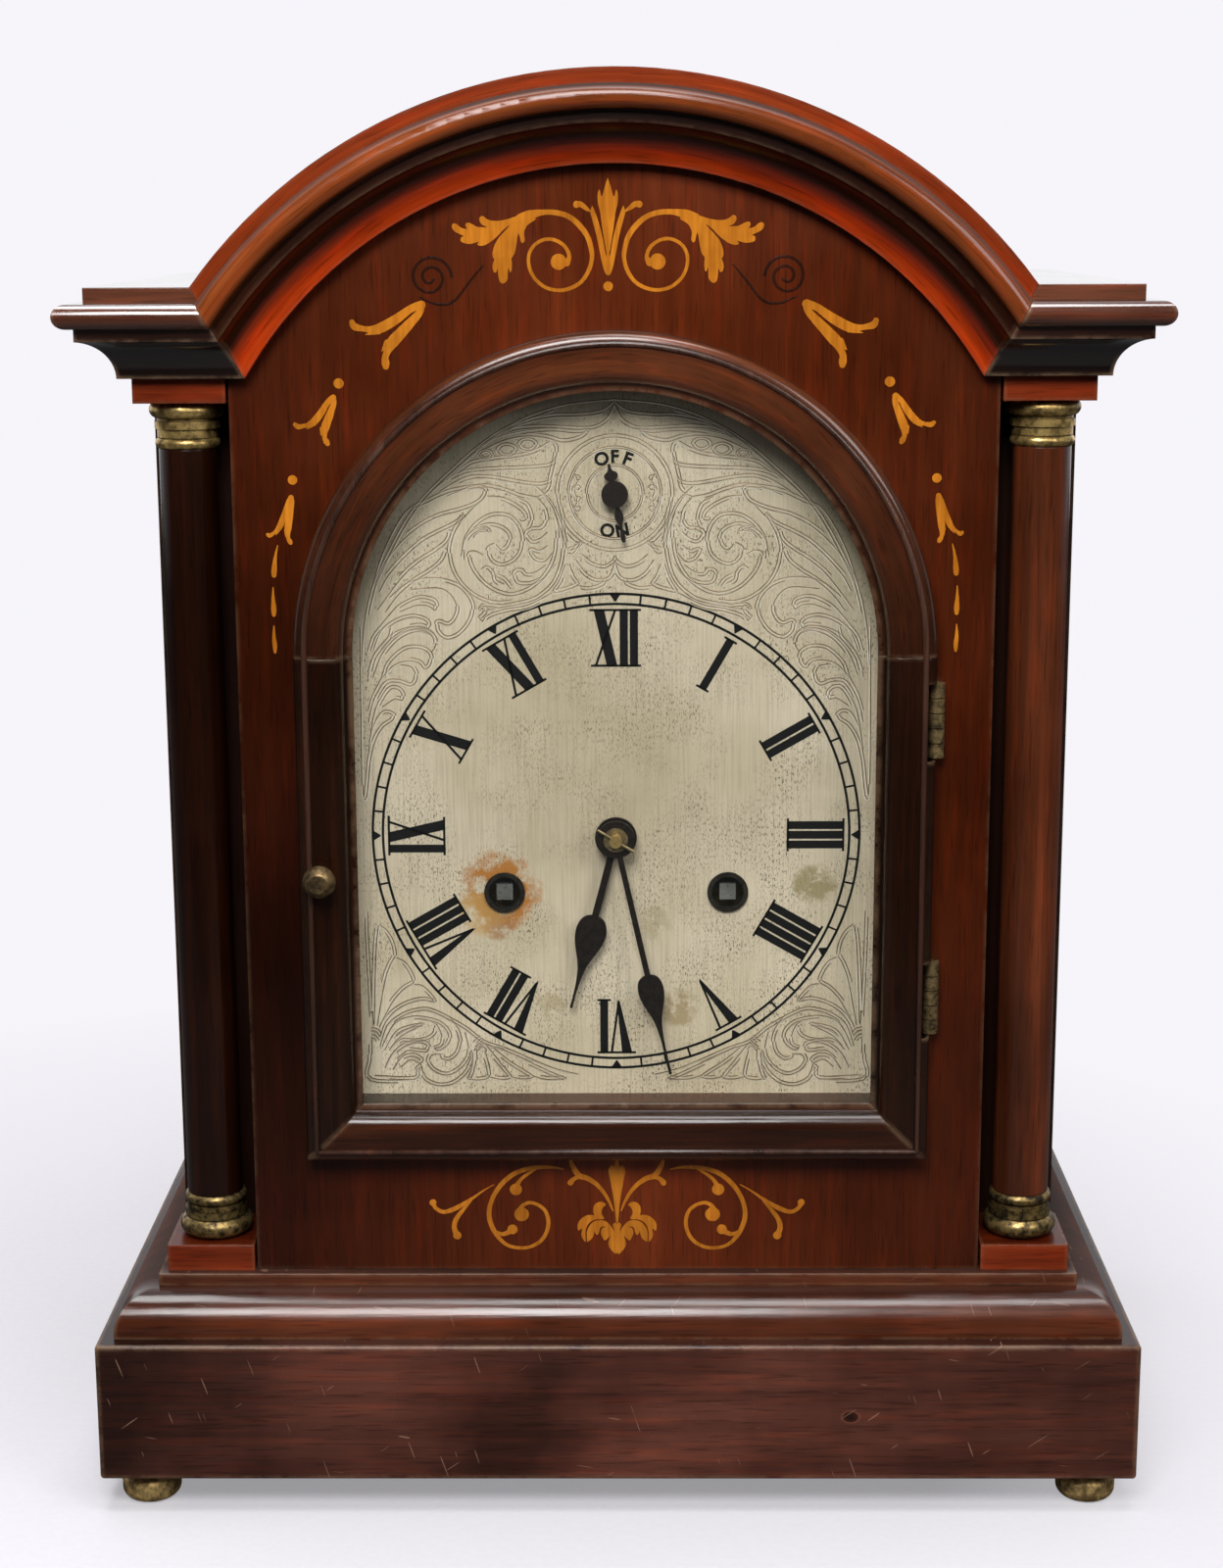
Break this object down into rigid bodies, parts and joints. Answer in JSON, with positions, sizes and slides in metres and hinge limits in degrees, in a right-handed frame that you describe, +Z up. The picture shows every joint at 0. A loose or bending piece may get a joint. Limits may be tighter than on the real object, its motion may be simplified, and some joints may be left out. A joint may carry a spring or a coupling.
{
  "type": "shelf clock",
  "caption": "Arched mahogany shelf clock on a plinth, with brass-mounted corner columns, glazed front door, silvered dial, opening back and a spring-driven pendulum movement.",
  "frame": {"origin": "on the surface the clock stands on, under the middle of the plinth", "axes": "+Z up, the dial faces -Y, +X to the viewer's right"},
  "size_m": [0.3218, 0.2066, 0.4358],
  "materials": {
    "plinth_wood": "dark French-polished mahogany with worn edges",
    "moulding_wood": "French-polished mahogany",
    "block_wood": "red French-polished mahogany",
    "panel_wood": "mahogany veneer, upright grain, satin polish",
    "side_wood": "mahogany veneer, satin polish",
    "back_wood": "plain stained wood",
    "roof_wood": "bent mahogany veneer, polished",
    "arch_wood": "cross-grained red mahogany moulding",
    "wing_wood": "dark mahogany moulding",
    "column_wood": "dark glossy mahogany",
    "door_wood": "cross-grained dark mahogany",
    "brass_trim": "tarnished turned brass",
    "door_glass": "plain flat glass",
    "dial_silver": "silvered brass, engraved and waxed",
    "grommet_brass": "dark tarnished brass",
    "hand_steel": "blued steel gone brown",
    "pin_brass": "polished brass",
    "movement_brass": "lacquered brass",
    "movement_steel": "bright steel",
    "gong_iron": "black japanned iron"
  },
  "bodies": {
    "case": {"base_plinth": "plinth_wood", "base_moulding": "moulding_wood", "base_top": "moulding_wood", "column_blocks": "block_wood", "frieze_blocks": "block_wood", "front_panel": "panel_wood", "corner_post_left": "panel_wood", "corner_post_right": "panel_wood", "side_panel_left": "side_wood", "side_panel_right": "side_wood", "back_frame": "back_wood", "seat_board": "back_wood", "roof_arch": "roof_wood", "wing_top_left": "roof_wood", "wing_top_right": "roof_wood", "arch_moulding": "arch_wood", "wing_moulding_left": "wing_wood", "wing_moulding_right": "wing_wood", "column_shafts": "column_wood", "base_feet": "brass_trim", "column_bases": "brass_trim", "column_capitals": "brass_trim", "door_hinge_fixed": "brass_trim", "back_hinge_fixed": "brass_trim", "dial_plate": "dial_silver", "winding_grommets": "grommet_brass", "front_plate": "movement_brass", "back_plate": "movement_brass", "plate_pillars": "movement_brass", "gong_rods": "movement_steel", "gong_block": "gong_iron"},
    "front_door": {"door_arch": "door_wood", "door_stile_left": "door_wood", "door_stile_right": "door_wood", "door_rail": "door_wood", "door_glass": "door_glass", "door_knob": "brass_trim", "door_hinge_swing": "brass_trim"},
    "rear_door": {"back_door": "back_wood", "back_door_knob": "brass_trim", "back_hinge_swing": "brass_trim"},
    "minute_work": {"cannon_pinion": "movement_brass", "minute_hand": "hand_steel"},
    "minute_gear": {"minute_wheel": "movement_brass"},
    "hour_work": {"hour_wheel": "movement_brass", "hour_hand": "hand_steel"},
    "strike_silent": {"silent_pointer": "hand_steel"},
    "third_arbor": {"third_wheel": "movement_brass"},
    "centre_arbor": {"centre_wheel": "movement_brass", "hand_pin": "pin_brass"},
    "going_drum": {"going_barrel": "movement_brass"},
    "escape_arbor": {"escape_wheel": "movement_brass"},
    "pendulum": {"pendulum_rod": "movement_steel", "pendulum_bob": "movement_brass"},
    "anchor_arbor": {"anchor": "movement_steel"},
    "warning_arbor": {"warning_wheel": "movement_brass"},
    "pin_arbor": {"pin_wheel": "movement_brass"},
    "strike_drum": {"strike_barrel": "movement_brass"},
    "fly_arbor": {"fly": "movement_brass"},
    "hammer_arbor": {"hammer": "movement_brass"}
  },
  "joints": [
    {"name": "front_door_hinge", "type": "hinge", "parent": "case", "child": "front_door", "pos_m": [0.0958, -0.0845, 0.2044], "axis": [0, 0, 1], "range_deg": [0, 110]},
    {"name": "rear_door_hinge", "type": "hinge", "parent": "case", "child": "rear_door", "pos_m": [0.0944, 0.0971, 0.2118], "axis": [0, 0, -1], "range_deg": [0, 110]},
    {"name": "minute_spin", "type": "hinge", "parent": "case", "child": "minute_work", "pos_m": [0, -0.0697, 0.2087], "axis": [0, 1, 0], "continuous": true},
    {"name": "minute_gear_spin", "type": "hinge", "parent": "case", "child": "minute_gear", "pos_m": [0.0106, -0.0606, 0.1981], "axis": [0, 1, 0], "continuous": true},
    {"name": "hour_spin", "type": "hinge", "parent": "case", "child": "hour_work", "pos_m": [0, -0.0697, 0.2087], "axis": [0, 1, 0], "continuous": true},
    {"name": "strike_silent_turn", "type": "hinge", "parent": "case", "child": "strike_silent", "pos_m": [0, -0.0697, 0.3136], "axis": [0, 1, 0], "range_deg": [0, 180]},
    {"name": "third_spin", "type": "hinge", "parent": "case", "child": "third_arbor", "pos_m": [-0.0144, -0.0346, 0.2336], "axis": [0, 1, 0], "continuous": true},
    {"name": "centre_spin", "type": "hinge", "parent": "case", "child": "centre_arbor", "pos_m": [0, -0.0346, 0.2087], "axis": [0, 1, 0], "continuous": true},
    {"name": "going_drum_spin", "type": "hinge", "parent": "case", "child": "going_drum", "pos_m": [-0.0344, -0.0346, 0.1907], "axis": [0, 1, 0], "continuous": true},
    {"name": "escape_spin", "type": "hinge", "parent": "case", "child": "escape_arbor", "pos_m": [0, -0.0346, 0.2525], "axis": [0, 1, 0], "continuous": true},
    {"name": "pendulum_swing", "type": "hinge", "parent": "case", "child": "pendulum", "pos_m": [0, 0.0004, 0.2735], "axis": [0, 1, 0], "range_deg": [-3.5, 3.5]},
    {"name": "anchor_rock", "type": "hinge", "parent": "case", "child": "anchor_arbor", "pos_m": [0, -0.0346, 0.2735], "axis": [0, 1, 0], "range_deg": [-3.5, 3.5]},
    {"name": "warning_spin", "type": "hinge", "parent": "case", "child": "warning_arbor", "pos_m": [0.028, -0.0346, 0.2471], "axis": [0, 1, 0], "continuous": true},
    {"name": "pin_spin", "type": "hinge", "parent": "case", "child": "pin_arbor", "pos_m": [0.04, -0.0346, 0.2287], "axis": [0, 1, 0], "continuous": true},
    {"name": "strike_drum_spin", "type": "hinge", "parent": "case", "child": "strike_drum", "pos_m": [0.0344, -0.0346, 0.1907], "axis": [0, 1, 0], "continuous": true},
    {"name": "fly_spin", "type": "hinge", "parent": "case", "child": "fly_arbor", "pos_m": [0.036, -0.0346, 0.2621], "axis": [0, 1, 0], "continuous": true},
    {"name": "hammer_lift", "type": "hinge", "parent": "case", "child": "hammer_arbor", "pos_m": [0.038, -0.0076, 0.1558], "axis": [1, 0, 0], "range_deg": [0, 15]}
  ],
  "couplings": [
    {"joint": "minute_gear_spin", "follows": "minute_spin", "ratio": -0.33333},
    {"joint": "hour_spin", "follows": "minute_spin", "ratio": 0.083333},
    {"joint": "centre_spin", "follows": "third_spin", "ratio": -0.083333},
    {"joint": "going_drum_spin", "follows": "third_spin", "ratio": 0.010101},
    {"joint": "escape_spin", "follows": "third_spin", "ratio": -11},
    {"joint": "anchor_rock", "follows": "pendulum_swing", "ratio": 1},
    {"joint": "pin_spin", "follows": "warning_spin", "ratio": -0.16667},
    {"joint": "strike_drum_spin", "follows": "warning_spin", "ratio": 0.020202},
    {"joint": "fly_spin", "follows": "warning_spin", "ratio": -6}
  ]
}
